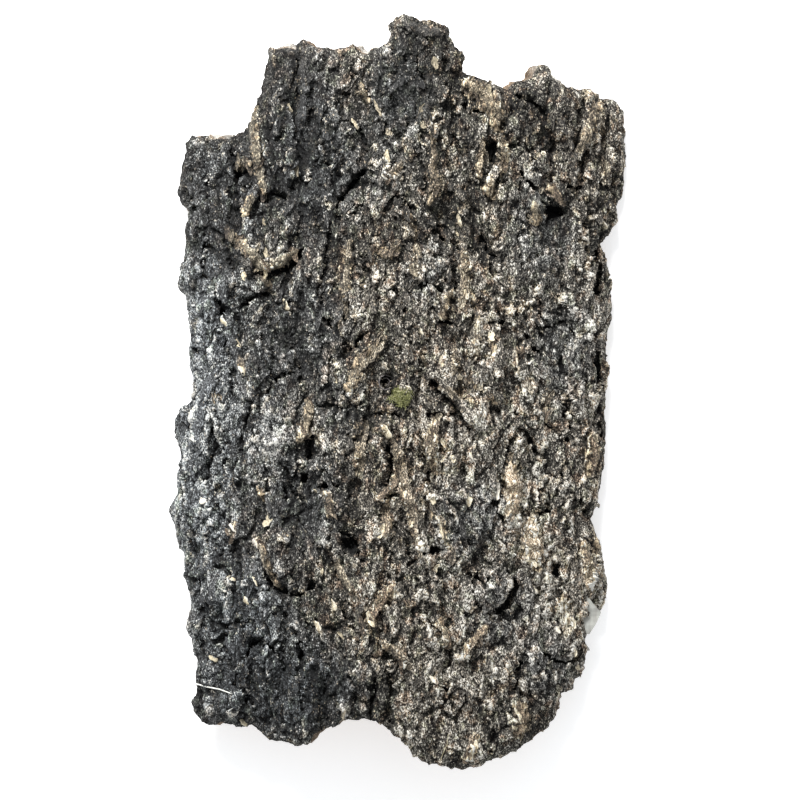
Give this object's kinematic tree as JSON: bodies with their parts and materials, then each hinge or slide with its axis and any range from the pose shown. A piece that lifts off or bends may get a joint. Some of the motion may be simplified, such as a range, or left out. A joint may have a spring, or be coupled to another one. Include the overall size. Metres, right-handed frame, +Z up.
{
  "type": "cork bark slab",
  "caption": "Arched slab of virgin cork bark with a deeply fissured, ridged outer face, broken edges and a smooth hollow inner face, for resting on a surface",
  "frame": {"origin": "middle of the slab's box in plan, on the surface that it rests on", "axes": "+X across the grain, +Y along the grain, towards the end with the raised tongue, +Z up, out of the bark's outer face"},
  "size_m": [0.3678, 0.601, 0.0873],
  "materials": {
    "cork_bark": "dry, matte, weathered charcoal to brown-grey bark"
  },
  "bodies": {
    "root": {"cork_bark": "cork_bark"}
  },
  "joints": []
}
